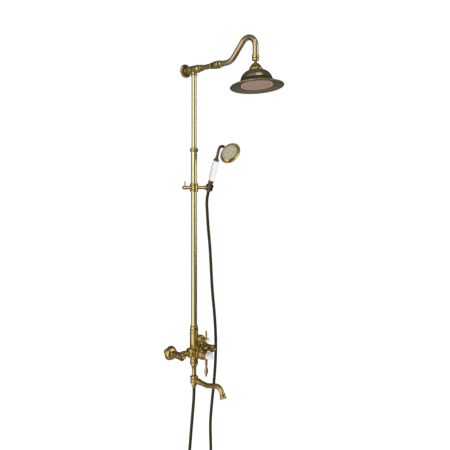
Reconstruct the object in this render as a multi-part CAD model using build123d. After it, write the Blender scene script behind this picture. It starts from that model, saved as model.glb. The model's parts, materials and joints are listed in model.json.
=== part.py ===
"""Exposed bath and shower column with an overhead rain head and a hand shower on a sliding bracket.

Millimetres.  +X runs to the right along the wall, +Y into the wall, +Z up.  The finished wall is the
plane Y = 0 and the origin lies on it, halfway between the two water inlets.
"""
from build123d import *
import os
from math import pi, radians, sin, cos, tan

# ---- driving dimensions ---------------------------------------------------------------------------
INLET_CENTRES = 150.0        # standard spacing of the hot and cold wall inlets
COLUMN_OUT = 50.0            # riser axis in front of the wall
ARM_HEIGHT = 1056.0          # overhead arm axis above the inlets
COLLAR_HEIGHT = 755.0        # middle of the telescoping collar
SLIDER_HEIGHT = 614.0        # hand-shower bracket axis
DIVERTER_HEIGHT = 55.0       # diverter axis
LEVER_OUT = 117.0            # both turned levers, in front of the wall
SPOUT_HEIGHT = -106.0        # bath spout axis at the column
LOWER_TUBE_R = 11.5
LOWER_TUBE_BORE_R = 9.9
UPPER_TUBE_R = 9.5
UPPER_TUBE_BORE_R = 8.3
ARM_TUBE_R = 10.0
ARM_TUBE_BORE_R = 8.4
ARM_REACH = 361.0            # overhead outlet axis in front of the wall
BALL_HEIGHT = 1024.0
BALL_R = 7.5
BALL_STEM_R = 4.6
SEAT_R = 9.2                 # nylon seat round the ball, a slice of a sphere
SEAT_HALF = 1.8
HEAD_R = 91.5                # rain head, half of its overall diameter
HEAD_LEAN = 7.1              # degrees that the rain head leans outwards at rest
HEAD_SIDE_LEAN = 2.1         # degrees that it leans to the left at rest
FACE_PLATE_R = 54.0
NOZZLE_R = 2.9
CRADLE_X = 79.0              # hand-shower cradle, sideways from the riser
HANDSET_LEAN = 20.0          # degrees that the hand shower leans outwards at rest
HANDSET_TURN = -8.0          # degrees that it is turned in its cradle
HANDSET_HEAD_R = 42.0
HANDSET_FACE_R = 30.5
PIPE_THREAD_R = 10.4775      # half inch pipe thread, outside
TOP_SCREW_CENTRES = 28.0
HOSE_R = 6.0
RUNNING = 0.06               # radial clearance of a running fit
SEATED = 0.1                 # radial clearance of a piece seated in another

PARTS = {}


# ---- helpers --------------------------------------------------------------------------------------
def outline(points):
    """Closed flat outline.  A third number on a point is the sagitta of the arc that leads to it."""
    edges = []
    for start, end in zip(points, points[1:] + points[:1]):
        if len(end) == 3:
            edges.append(SagittaArc(start[:2], end[:2], end[2]))
        else:
            edges.append(Line(start[:2], end[:2]))
    return make_face(edges)


def turned(points):
    """Solid turned about Z from (radius, height) points."""
    return revolve(Plane.XZ * outline(points), Axis.Z)


def turned_out(points, x, z):
    """Solid turned about a horizontal axis, from (radius, distance in front of the wall) points."""
    return Pos(x, 0, z) * Rot(90, 0, 0) * turned(points)


def turned_side(points, y, z):
    """Solid turned about an axis along X, from (radius, x) points."""
    return Pos(0, y, z) * Rot(0, 90, 0) * turned(points)


def tube(outer, bore, low, high):
    """Plain tube, ring or, with no bore, bar about Z."""
    return turned([(bore, low), (outer, low), (outer, high), (bore, high)])


def bar(radius, low, high):
    """Plain round bar about Z."""
    return Pos(0, 0, low) * Cylinder(radius, high - low, align=(Align.CENTER, Align.CENTER, Align.MIN))


def bar_out(radius, near, far, x, z):
    """Plain round bar along the line in front of the wall."""
    return Pos(x, 0, z) * Rot(90, 0, 0) * bar(radius, near, far)


def bar_side(radius, low, high, y, z):
    """Plain round bar along X."""
    return Pos(0, y, z) * Rot(0, 90, 0) * bar(radius, low, high)


def swept(path, outer, bore):
    """Tube of round section along a path, open at both ends."""
    start = Plane(origin=path @ 0, z_dir=path % 0)
    solid = sweep(start * Circle(outer), path=path)
    return solid - sweep(start * Circle(bore), path=path) if bore else solid


def out_path(points, radii):
    """Path in the plane X = 0 from (distance in front of the wall, height) points."""
    return FilletPolyline(*[(0, -out, z) for out, z in points], radius=radii)


def at_column(solid):
    """Moves a solid built about the origin onto the riser axis."""
    return Pos(0, -COLUMN_OUT, 0) * solid


def keep(name, solid):
    PARTS[name] = solid


# ---- top wall fixing, tee and overhead arm --------------------------------------------------------
def top_fixing():
    rim, neck = 26.0, 15.2
    keep("top_wall_flange", turned_out([
        (rim - 1.4, 0), (rim, 0), (rim, 2.6), (rim - 1.2, 4.4, -0.5), (rim - 3.0, 4.8),
        (neck, 15.5, 2.0), (neck - 0.6, 15.5), (neck - 0.6, 14.0), (rim - 4.4, 3.6, -1.8),
        (rim - 1.4, 2.4)], 0, ARM_HEIGHT))
    plate = turned_out([(0, 0), (18, 0), (18, 3), (9, 3), (9, 18), (0, 18)], 0, ARM_HEIGHT)
    screws = []
    for side in (-1, 1):
        x = side * TOP_SCREW_CENTRES / 2
        plate -= bar_out(2.6, -1, 4, x, ARM_HEIGHT)
        screw = turned_out([(0, -18), (2.2, -15), (2.2, 0), (2.5, 0), (2.5, 3), (4.3, 3),
                            (4.3, 4.4), (0.8, 6.2, -0.5), (0, 6.2)], x, ARM_HEIGHT)
        slot = Pos(x, -6.2, ARM_HEIGHT) * Box(9, 1.8, 1.1)
        screws.append(screw - slot)
    keep("top_wall_plate", plate)
    keep("top_wall_screws", Compound(children=screws))
    keep("top_wall_socket", turned_out([
        (9 + SEATED, 8), (13.4, 8), (13.4, 30), (14.4, 31), (14.4, 34), (9 + SEATED, 34)],
        0, ARM_HEIGHT))


def top_tee():
    barrel = turned_out([
        (0, 20), (9, 20), (9, 34.2), (14.2, 34.2), (15.0, 36), (15.0, 70), (13.0, 80, -0.8),
        (11.2, 87), (12.4, 88), (12.4, 92), (0, 92)], 0, ARM_HEIGHT)
    socket = at_column(turned([
        (0, ARM_HEIGHT - 26), (12.2, ARM_HEIGHT - 26), (12.2, ARM_HEIGHT - 22),
        (11.4, ARM_HEIGHT - 21), (11.4, ARM_HEIGHT), (0, ARM_HEIGHT)]))
    riser_bore = at_column(bar(UPPER_TUBE_R + SEATED, ARM_HEIGHT - 27, ARM_HEIGHT - 9))
    water_way = bar_out(7.5, 42, 93, 0, ARM_HEIGHT)
    link = at_column(bar(7.0, ARM_HEIGHT - 20, ARM_HEIGHT))
    keep("top_tee", barrel + socket - riser_bore - water_way - link)


def arm():
    keep("arm_collar", turned_out([
        (7.5, 92.2), (12.4, 92.2), (12.4, 94.6), (10.4, 95.6), (9.4, 112, 0.5), (9.4, 132),
        (10.2, 144, 0.3), (11.6, 144.8), (11.6, 150.6), (10.6, 151.4), (14.2, 174, -1.2), (14.2, 180),
        (13.2, 181), (13.2, 183), (14.2, 184), (13.6, 187, -0.4), (11.0, 189, 0.4), (11.0, 191.6),
        (12.8, 192.6), (12.8, 197), (11.6, 199), (ARM_TUBE_R + SEATED, 199),
        (ARM_TUBE_R + SEATED, 186), (7.5, 186)], 0, ARM_HEIGHT))
    rise = radians(47)
    first_bend = 244.7
    top_corner = ARM_HEIGHT + tan(rise) * (ARM_REACH - first_bend)
    path = out_path([(187, ARM_HEIGHT), (first_bend, ARM_HEIGHT), (ARM_REACH, top_corner),
                     (ARM_REACH, 1050)], [50.0, 34.8])
    keep("arm_tube", swept(path, ARM_TUBE_R, ARM_TUBE_BORE_R))


def arm_outlet():
    """Nut on the end of the arm and the ball that carries the rain head."""
    def place(solid):
        return Pos(0, -ARM_REACH, 0) * solid
    keep("arm_nut", place(turned([
        (BALL_STEM_R + SEATED, 1043), (10.6, 1043), (12.4, 1044.6), (12.4, 1050), (11.6, 1050.8),
        (11.6, 1052.2), (12.4, 1053), (12.4, 1061), (11.4, 1063.4), (ARM_TUBE_R + SEATED, 1063.4),
        (ARM_TUBE_R + SEATED, 1048), (BALL_STEM_R + SEATED, 1048)])))
    ball = Pos(0, 0, BALL_HEIGHT) * Sphere(BALL_R)
    stem = bar(BALL_STEM_R, BALL_HEIGHT, 1049) + bar(9.2, 1048.2, 1049.8)
    keep("ball_stud", place(ball + stem - bar(3.0, BALL_HEIGHT - 10, 1051)))


# ---- rain head ------------------------------------------------------------------------------------
def head_place(solid):
    """Puts a solid built about the ball's centre, axis down, on the arm with the head's lean."""
    lean = Rot(0, HEAD_SIDE_LEAN, 0) * Rot(-HEAD_LEAN, 0, 0)
    return Pos(0, -ARM_REACH, BALL_HEIGHT) * lean * solid


def rain_head():
    rim, face = -71.0, -64.0
    bell_low_r = HEAD_R - 3.0
    seat = Sphere(SEAT_R) & Cylinder(SEAT_R + 1, 2 * SEAT_HALF)
    keep("ball_seat", head_place(seat - Sphere(BALL_R + RUNNING)))
    keep("head_cap", head_place(turned([
        (7.9, 10.6), (8.8, 10.6), (17.0, 1.2, 0.6), (22.0, -8.0, 0.6), (23.8, -10.6),
        (23.8, -13.2), (8.0, -13.2), (8.0, -8.6), (SEAT_R + SEATED, -8.6), (SEAT_R + SEATED, 3.6),
        (6.3, 4.6)])))
    keep("head_bell", head_place(turned([
        (21.0, -13.5), (24.8, -13.5), (26.2, -14.6, 0.4), (55.0, -49.0, 6.8),
        (57.6, -51.2, -0.4), (HEAD_R - 2.0, -67.6, -1.2), (HEAD_R, -69.2), (HEAD_R, rim + 0.6),
        (HEAD_R - 0.6, rim, 0.1), (bell_low_r, rim), (bell_low_r, -68.8), (57.0, -53.2, 1.2),
        (53.6, -49.6, 0.4), (25.2, -16.0, -6.6), (21.0, -16.0)])))
    keep("head_face_ring", head_place(turned([
        (FACE_PLATE_R - 2.0, face + 1.4), (bell_low_r - 0.2, rim + 2.0, 0.8),
        (bell_low_r - 0.2, rim), (bell_low_r - 2.0, rim), (FACE_PLATE_R + 1.6, face, -0.8),
        (FACE_PLATE_R + 0.3, face - 0.8), (FACE_PLATE_R + 0.3, face), (FACE_PLATE_R - 2.0, face)])))
    plate = tube(FACE_PLATE_R, 0, face - 2.2, face - 0.3)
    for ring_number in range(6):
        spots = [Location((0, 0, 0))]
        if ring_number:
            spots = PolarLocations(9.0 * ring_number, 6 * ring_number)
        for spot in spots:
            plate -= spot * bar(NOZZLE_R, face - 3, face + 1)
    keep("head_face_plate", head_place(plate))


# ---- riser ----------------------------------------------------------------------------------------
def riser():
    keep("upper_riser", at_column(tube(UPPER_TUBE_R, UPPER_TUBE_BORE_R, 480, ARM_HEIGHT - 9.2)))
    keep("lower_riser", at_column(tube(LOWER_TUBE_R, LOWER_TUBE_BORE_R, 82, COLLAR_HEIGHT)))
    low, high = COLLAR_HEIGHT - 8, COLLAR_HEIGHT + 8
    collar = turned([
        (LOWER_TUBE_R + SEATED, low), (13.0, low), (13.6, low + 1.2), (13.6, high - 1.6),
        (12.6, high), (UPPER_TUBE_R + 0.3, high), (UPPER_TUBE_R + 0.3, high - 7.6),
        (LOWER_TUBE_R + SEATED, high - 7.6)])
    screws = []
    for angle in (45, 135, 225, 315):
        lug = Pos(13.2, 0, COLLAR_HEIGHT - 1) * Box(5.0, 5.2, 12.0)
        collar += Rot(0, 0, angle) * fillet(lug.edges().filter_by(Axis.Z), 1.2)
    collar -= bar(LOWER_TUBE_R + SEATED, low - 1, high - 7.6)
    for angle in (45, 135, 225, 315):
        turn = Rot(0, 0, angle) * Pos(0, 0, COLLAR_HEIGHT - 1)
        collar -= turn * Rot(0, 90, 0) * bar(1.9, 11, 17)
        screw = bar(1.8, LOWER_TUBE_R + 0.2, 15.2) - bar(0.8, 13.6, 16)
        screws.append(at_column(turn * Rot(0, 90, 0) * screw))
    keep("telescope_collar", at_column(collar))
    keep("collar_screws", Compound(children=screws))
    keep("riser_seal", at_column(
        tube(LOWER_TUBE_BORE_R - 0.02, UPPER_TUBE_R + 0.04, COLLAR_HEIGHT - 14, COLLAR_HEIGHT - 11)))
    keep("riser_union_nut", at_column(turned([
        (LOWER_TUBE_R + SEATED, 76.6), (15.2, 76.6), (16.0, 77.6), (16.0, 82), (15.0, 83),
        (15.0, 86), (14.2, 95), (13.2, 96), (13.2, 100), (LOWER_TUBE_R + SEATED, 100)])))


# ---- mixer ----------------------------------------------------------------------------------------
def mixer_body():
    column = at_column(turned([
        (0, -20.4), (15.0, -20.4), (16.0, -19.4), (16.0, 70), (15.0, 71.4), (15.0, 76.4), (0, 76.4)]))
    bar_r, bar_half = 19.0, 30.0
    cross = turned_side([
        (0, -bar_half), (13.0, -bar_half), (bar_r, -bar_half + 8, -1.6), (bar_r, bar_half - 8),
        (13.0, bar_half, -1.6), (0, bar_half)], -COLUMN_OUT, 0)
    body = column + cross
    body += turned_out([(0, 50), (20.0, 50), (20.0, 85.6), (19.0, 87), (0, 87)], 0, 0)
    body += turned_out([(0, 50), (10.4, 50), (10.4, 66), (11.6, 72), (0, 72)], 0, DIVERTER_HEIGHT)
    for side in (-1, 1):
        stub = turned_side([(0, 20), (7.5, 20), (7.5, 51), (9.2, 51), (9.2, 54), (0, 54)],
                           -COLUMN_OUT, 0)
        body += stub if side > 0 else mirror(stub, about=Plane.YZ)
    body -= bar_out(17 + SEATED, 60, 88, 0, 0)
    body -= bar_out(9 + SEATED, 57, 73, 0, DIVERTER_HEIGHT)
    body -= bar_side(5.5, -55, 55, -COLUMN_OUT, 0)
    body -= at_column(bar(7.6 + SEATED, -22, -10) + bar(7.0, -12, 70))
    body -= at_column(bar(LOWER_TUBE_R + SEATED, 81.8, 90) + bar(9.0, 60, 90))
    keep("mixer_body", body)
    keep("cartridge", turned_out([
        (0, 60.2), (17, 60.2), (17, 80), (15, 80), (15, 84), (7, 84), (7, 60.6 + 10), (0, 70.6)],
        0, 0))
    keep("cartridge_nut", turned_out([
        (6.2, 84.2), (17, 84.2), (17, 88), (16.2, 92, -0.6), (12.0, 98.4, -1.2), (6.2, 98.4)], 0, 0))


def mixer_handle():
    """Spindle that sets the temperature, and the tilting hub with its cap and lever."""
    keep("mixer_spindle", turned_out([
        (0, 70.8), (6.8, 70.8), (6.8, 83.4), (5.0, 83.4), (5.0, 101), (0, 101)], 0, 0))
    hub = turned_out([
        (17.6, 93.4), (18.8, 93.4), (20.4, 96, -0.4), (20.4, 100), (18.6, 106, -0.6),
        (15.4, 114, 1.0), (13.8, 121, 0.5), (14.4, 122), (14.4, 125), (0, 125), (0, 107),
        (12.0, 107), (16.2, 103, 0.6), (17.6, 97)], 0, 0)
    keep("handle_hub", hub - Pos(0, -LEVER_OUT, 0) * bar(4.4 + SEATED, -30, -14.4))
    keep("porcelain_cap", turned_out([
        (0, 125.2), (12.6, 125.2), (13.0, 127), (13.0, 138), (9.0, 145.4, -1.6), (0.8, 147.4, -0.3), (0, 147.4)],
        0, 0))
    lever = turned([
        (0, -14.5), (4.4, -14.5), (4.4, -18), (6.0, -19), (6.0, -21.4), (4.8, -22.4), (4.8, -29),
        (5.9, -30), (5.9, -32.6), (4.2, -33.8), (3.9, -40, -0.1), (7.0, -58, 0.7),
        (5.2, -67.4, 0.5), (3.2, -71.4, -0.3), (3.7, -75, 0.5), (0.8, -78.6, 0.8), (0, -78.6)])
    keep("mixer_lever", Pos(0, -LEVER_OUT, 0) * lever)


def diverter():
    z = DIVERTER_HEIGHT
    keep("diverter_cartridge", turned_out([
        (0, 57.2), (9, 57.2), (9, 95.4), (5, 95.4), (5, 92), (0, 92)], 0, z))
    keep("diverter_bonnet", turned_out([
        (9 + SEATED, 72.2), (13.4, 72.2), (13.4, 75.4), (11.8, 76.4), (11.8, 79), (14.4, 81.4),
        (14.8, 88, -0.4), (14.0, 94, -0.3), (12.4, 95.6), (12.4, 98), (9.6, 100.2, -0.5),
        (4.3 + RUNNING, 100.2), (4.3 + RUNNING, 95.6), (9 + SEATED, 95.6)], 0, z))
    hub = turned_out([
        (0, 92.2), (4.3, 92.2), (4.3, 102.6), (8.0, 102.6), (9.0, 104), (9.0, 106.4), (7.6, 107.4),
        (7.6, 108.4), (10.4, 113, -0.6), (10.4, 122), (8.8, 125.6, -0.5), (0, 125.6)], 0, z)
    keep("diverter_hub", hub - Pos(0, -LEVER_OUT, z) * bar(3.6 + SEATED, 9.0, 20))
    lever = turned([
        (0, 9.2), (3.6, 9.2), (3.6, 12.6), (2.8, 13.4), (2.8, 15), (4.4, 20, -0.4), (4.0, 24, -0.3),
        (2.4, 26.6), (2.4, 27.6), (3.4, 28.4), (2.6, 29.6), (3.7, 33, -0.6), (0.8, 36.6, -0.9),
        (0, 36.6)])
    keep("diverter_lever", Pos(0, -LEVER_OUT, z) * lever)
    keep("diverter_button", turned_out([
        (0, 125.8), (7.6, 125.8), (7.6, 129.4), (4.6, 133, -0.8), (0.8, 133.8, -0.1), (0, 133.8)], 0, z))


# ---- water inlets ---------------------------------------------------------------------------------
def inlets():
    flanges, unions, finials, tails, washers = [], [], [], [], []
    for side, hand in ((-1, "left"), (1, "right")):
        x = side * INLET_CENTRES / 2
        flanges.append(turned_out([
            (25.0, 0), (26.6, 0), (26.6, 3.4), (25.4, 4.6, -0.3), (24.6, 6.0), (23.8, 9.0, -0.3),
            (15.2, 18.6, -2.4), (13.2, 19.2), (12.6, 19.2), (12.6, 17.8), (14.6, 17.2),
            (22.4, 8.6, 2.3), (23.4, 5.0), (25.0, 3.2)], x, 0))
        elbow = turned_out([
            (0, 10), (12.0, 10), (12.0, 22), (11.0, 23), (11.0, 33), (13.2, 40, 0.4),
            (13.2, 58), (12.2, 61, 0.2), (15.4, 68.6, 1.0), (15.4, 71), (0, 71)], x, 0)
        outlet = turned_side([(0, 57), (9.3, 57), (9.3, 62), (11.0, 63.4), (11.0, 75), (0, 75)],
                             -COLUMN_OUT, 0)
        elbow += outlet if side > 0 else mirror(outlet, about=Plane.YZ)
        elbow -= bar_out(8.6 + SEATED, 9, 26, x, 0) + bar_out(6.5, 20, 58, x, 0)
        elbow -= bar_out(5.0 + SEATED, 60, 72, x, 0)
        elbow -= bar_side(5.5, 56 if side > 0 else -75, 75 if side > 0 else -56, -COLUMN_OUT, 0)
        keep(f"inlet_elbow_{hand}", elbow)
        union = turned_side([
            (7.5 + SEATED, 43), (10.6, 43), (12.2, 44.6), (12.2, 47), (11.4, 48), (11.4, 50),
            (12.4, 51), (12.4, 59.6), (11.4, 61), (9.3 + SEATED, 61), (9.3 + SEATED, 50.9),
            (7.5 + SEATED, 50.9)], -COLUMN_OUT, 0)
        washer = turned_side([(5.5, 54.1), (9.0, 54.1), (9.0, 56.9), (5.5, 56.9)], -COLUMN_OUT, 0)
        unions.append(union if side > 0 else mirror(union, about=Plane.YZ))
        washers.append(washer if side > 0 else mirror(washer, about=Plane.YZ))
        finials.append(turned_out([
            (0, 61), (5.0, 61), (5.0, 71.2), (8.6, 71.2), (8.6, 73.4), (5.0, 75.4, 0.5),
            (4.2, 77), (5.8, 78), (4.6, 79.4), (5.9, 83.6, -0.8), (0.8, 88.6, -1.4), (0, 88.6)], x, 0))
        tails.append(turned_out([
            (6.5, -25), (9.6, -25), (PIPE_THREAD_R, -24), (PIPE_THREAD_R, 0), (8.6, 0), (8.6, 24),
            (6.5, 24)], x, 0))
    keep("inlet_flanges", Compound(children=flanges))
    keep("inlet_unions", Compound(children=unions))
    keep("inlet_finials", Compound(children=finials))
    keep("inlet_tails", Compound(children=tails))
    keep("inlet_washers", Compound(children=washers))


# ---- lower column and bath spout ------------------------------------------------------------------
def lower_column():
    keep("lower_collar", at_column(turned([
        (7.7, -44.6), (14.4, -44.6), (15.8, -43.2), (15.8, -39.6), (14.8, -38.6), (14.8, -26),
        (15.8, -25), (15.8, -20.7), (7.7, -20.7)])))
    keep("baluster", at_column(turned([
        (5.6, -91.6), (10.8, -91.6), (10.8, -89.4), (9.0, -87.4, 0.5), (8.5, -70, 0.1),
        (9.2, -58, 0.2), (13.2, -50.4, 0.8), (13.2, -47.4), (12.0, -46.4), (12.0, -44.8),
        (7.6, -44.8), (7.6, -12), (5.6, -12)])))
    core_r = 8.0
    core = turned([
        (5.0, -127), (8.4, -127), (9.0, -126.2), (9.0, -118.4), (core_r, -118.4), (core_r, -113),
        (6.9, -113), (6.9, -110.4), (core_r, -110.4), (core_r, -101), (6.9, -101), (6.9, -98.4),
        (core_r, -98.4), (core_r, -91.8), (5.0, -91.8)])
    keep("spout_core", at_column(core))
    rings = [at_column(tube(core_r + 0.03, 6.95, low, low + 2.4)) for low in (-112.9, -100.9)]
    keep("spout_o_rings", Compound(children=rings))


def spout():
    bore = 8.0 + RUNNING
    hub = at_column(turned([
        (bore, -117.9), (12.6, -117.9), (14.2, -116.6), (14.2, -113.4), (13.4, -112.4),
        (13.4, -99.6), (14.6, -98.6), (15.4, -95.2, -0.3), (14.6, -92.0), (bore, -92.0)]))
    hub += bar_out(10.4, COLUMN_OUT + 2, 67, 0, SPOUT_HEIGHT) - at_column(bar(11, -140, -80))
    hub -= bar_out(6.5, COLUMN_OUT, 70, 0, SPOUT_HEIGHT)
    keep("spout_hub", hub)
    start, dip, crest, end = (68, SPOUT_HEIGHT), (122, -110), (190, -95), (202.5, -124.7)
    path = out_path([start, dip, crest, end], [60.0, 27.0])
    sleeve_axis = Plane(origin=path @ 0, z_dir=path % 0)
    swell = sleeve_axis * turned([(8.5, 0), (11.6, 0), (11.6, 3), (11.0, 4), (9.5, 40, 0.6), (8.5, 40)])
    keep("spout_tube", swept(path, 9.2, 7.2) + swell)
    mouth = Plane(origin=path @ 1, z_dir=path % 1)
    keep("spout_nozzle", mouth * turned([
        (9.2 + SEATED, -5), (10.6, -5), (11.0, -3.6), (10.2, -2.4), (9.9, 0.6), (12.2, 11, 0.4),
        (12.4, 13), (11.0, 13), (10.4, 10, 0.1), (8.6, 6.4), (8.6, 0.2), (9.2 + SEATED, 0.2)]))
    insert = tube(8.5, 0, 0.6, 5.6) - bar(7.2, 0, 4.4)
    for count, ring_r in ((1, 0.0), (6, 2.7), (12, 5.4)):
        spots = PolarLocations(ring_r, count) if ring_r else [Location((0, 0, 0))]
        for spot in spots:
            insert -= spot * bar(0.7, 4, 6)
    keep("aerator_insert", mouth * insert)


# ---- hand-shower bracket --------------------------------------------------------------------------
def bracket():
    z, half = SLIDER_HEIGHT, 16.0
    body = at_column(turned([
        (13 + SEATED, z - half), (14.8, z - half), (16.0, z - half + 1.4), (16.0, z - half + 5),
        (15.0, z - half + 6), (15.0, z + half - 6), (16.0, z + half - 5), (16.0, z + half - 1.4),
        (14.8, z + half), (13 + SEATED, z + half)]))
    stub = turned_side([(0, -32), (6.4, -32), (6.4, -19), (7.6, -17), (7.6, -14), (0, -14)],
                       -COLUMN_OUT, z)
    right = turned_side([(0, 14), (8.2, 14), (8.2, 18.6), (0, 18.6)], -COLUMN_OUT, z)
    body += (stub + right) - at_column(bar(13 + SEATED, z - 20, z + 20))
    body -= bar_side(3.0 + RUNNING, -33, -12, -COLUMN_OUT, z)
    keep("slider_body", body)
    bushing = tube(13, LOWER_TUBE_R + RUNNING, z - half, z + half)
    keep("slider_bushing", at_column(bushing))
    keep("slider_bar", turned_side([
        (0, 18.8), (6.6, 18.8), (6.6, 54), (7.6, 55), (7.6, 57.6), (3.5, 57.6), (3.5, 68), (0, 68)],
        -COLUMN_OUT, z))
    knob = turned_side([
        (0, -54), (4.0, -54), (7.2, -52, -0.6), (7.2, -35.4), (6.6, -34.2), (6.6, -32.3),
        (3.0, -32.3), (3.0, -13.4), (0, -13.4)], -COLUMN_OUT, z)
    thumb = turned([(0, 4), (2.6, 4), (2.6, 12), (3.2, 20.4, -0.1), (1.6, 23.2, -0.5), (0, 23.2)])
    keep("lock_knob", knob + Pos(-44.4, -COLUMN_OUT, z) * thumb)


def tilt_place(solid):
    """Puts a solid built about the origin, axis up, in the cradle with the hand shower's lean."""
    return Pos(CRADLE_X, -COLUMN_OUT, SLIDER_HEIGHT) * Rot(HANDSET_LEAN, 0, 0) * solid


def cradle():
    low, high = -13.0, 11.0
    cone = turned([
        (8.2, low), (12.8, low), (13.6, low + 1.2), (13.6, -4), (14.4, 2), (14.4, high - 1.2),
        (13.6, high), (10.6, high)])
    boss = Rot(0, 90, 0) * bar(7.6, -21.2, -9.4)
    bore = turned([(0, low - 1), (8.1, low - 1), (10.7, high + 1), (0, high + 1)])
    slot = Pos(0, -14, 0) * Box(13.0, 20, 40)
    pin = Rot(0, 90, 0) * bar(3.5 + RUNNING, -24, -10.9)
    keep("cradle", tilt_place(cone + boss - bore - slot - pin))


# ---- hand shower ----------------------------------------------------------------------------------
def handset_place(solid):
    return tilt_place(Rot(0, 0, HANDSET_TURN) * solid)


def handset():
    keep("hose_upper_nut", handset_place(turned([
        (4.2, -18), (6.6, -18), (7.35, -17), (10.05, 9.2), (10.05, 13.4), (9.4, 14), (4.2, 14)])))
    keep("handset_ferrule", handset_place(turned([
        (4.2, 14.2), (9.0, 14.2), (9.0, 16), (10.6, 19.6, -0.5), (9.0, 23.2, -0.5), (9.0, 24),
        (11.0, 26), (11.0, 28), (4.2, 28)])))
    keep("handset_handle", handset_place(turned([
        (4.2, 28.2), (9.8, 28.2), (10.2, 29.2), (12.2, 78, -1.2), (11.0, 107, -0.6), (10.4, 108),
        (4.2, 108)])))
    neck_turn = radians(11.5)
    head_centre = (74.0, 161.0)
    back = (head_centre[0] - 20.0 * cos(neck_turn), head_centre[1] + 20.0 * sin(neck_turn))
    corner = (-1.6, back[1] + tan(neck_turn) * (back[0] + 1.6))
    flare = turned([
        (0, 108.2), (10.8, 108.2), (11.4, 109.4), (11.0, 111), (5.5, 126, 1.4), (5.0, 128), (0, 128)])

    def neck_rod(low, radius):
        path = FilletPolyline((0, 0, low), (0, -corner[0], corner[1]), (0, -back[0], back[1]),
                              radius=[22.0])
        return swept(path, radius, 0)
    keep("handset_neck", handset_place(neck_rod(118, 5.3) + flare - neck_rod(107, 3.6)))
    face = Plane(origin=(0, -head_centre[0], head_centre[1]), x_dir=(1, 0, 0),
                 z_dir=(0, -cos(neck_turn), -sin(neck_turn)))
    shell = turned([
        (0, -23.5), (8.4, -23.5), (9.4, -22), (9.4, -19.6), (8.6, -18.6), (24.0, -13.4, -1.6),
        (39.0, -5.4, -1.4), (HANDSET_HEAD_R, -2.0), (HANDSET_HEAD_R, 0), (HANDSET_HEAD_R - 1.6, 1.2, -0.4),
        (HANDSET_HEAD_R - 4.0, 0.8), (HANDSET_FACE_R + 0.3, -6.6, 0.9), (HANDSET_FACE_R + 0.3, -8.6),
        (28.0, -8.6), (22.0, -11.4), (8.0, -15.6), (0, -15.6)])
    shell -= bar(5.4, -24, -19.9) + bar(3.6, -20, -15)
    keep("handset_head", handset_place(face * shell))
    plate = tube(HANDSET_FACE_R, 0, -8.4, -6.2)
    for count, ring_r in ((6, 6.0), (12, 13.0), (18, 20.0), (24, 26.0)):
        for spot in PolarLocations(ring_r, count):
            plate -= spot * bar(1.6, -9, -6)
    keep("handset_face", handset_place(face * plate))


# ---- hose -----------------------------------------------------------------------------------------
def hose():
    keep("hose_lower_nut", at_column(turned([
        (9.0 + SEATED, -119), (9.7, -119), (9.9, -120), (9.9, -124), (9.2, -125), (8.6, -131),
        (4.2, -131), (4.2, -127.4), (9.0 + SEATED, -127.4)])))
    lean = radians(HANDSET_LEAN)
    start = Vector(CRADLE_X, -COLUMN_OUT + 18 * sin(lean), SLIDER_HEIGHT - 18 * cos(lean))
    exit_point = start + Vector(0, sin(lean), -cos(lean)) * 29
    route = [
        start, exit_point, (79.6, -36.5, 522), (80.8, -41, 458), (86.5, -45, 386),
        (91.5, -46, 302), (98, -45.5, 215), (111, -45, 122), (118.5, -44.5, 32),
        (119.5, -42, -60), (117, -35, -150), (113, -26, -236), (110, -21, -310),
        (112.5, -21, -374), (113.5, -22, -428), (96, -25, -463), (64, -31, -482), (28, -38, -481),
        (-4, -43.5, -462), (-21.5, -47, -430), (-22.5, -49, -378), (-16.5, -50, -310),
        (-9, -50.5, -240), (-2.5, -50.8, -184), (0, -COLUMN_OUT, -150), (0, -COLUMN_OUT, -131)]
    points = [Vector(*p) if isinstance(p, tuple) else p for p in route]
    radii = []
    for before, here, after in zip(points, points[1:], points[2:]):
        half_turn = radians((here - before).get_angle(after - here)) / 2
        radii.append(0.45 * min((here - before).length, (after - here).length) / tan(half_turn))
    path = FilletPolyline(*points, radius=radii)
    solid = swept(path, HOSE_R, 0)
    section = pi * HOSE_R ** 2
    print("hose radii", [round(r) for r in radii])
    print("hose length", round(path.length), "volume ratio", round(solid.volume / section / path.length, 4))
    keep("shower_hose", solid)


def build():
    for make in (top_fixing, top_tee, arm, arm_outlet, rain_head, riser, mixer_body, mixer_handle,
                 diverter, inlets, lower_column, spout, bracket, cradle, handset, hose):
        make()
    os.makedirs("parts", exist_ok=True)
    for name, solid in PARTS.items():
        export_step(solid, f"parts/{name}.step")
    print(len(PARTS), "parts")


build()
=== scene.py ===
"""Looks of an exposed shower column: finishes, turned and bent surfaces, hose, floor, light and camera.

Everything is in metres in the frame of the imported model.  Outlines are in millimetres.
"""
import json
import math

import bmesh
import bpy
import numpy as np
from mathutils import Matrix, Vector


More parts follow.
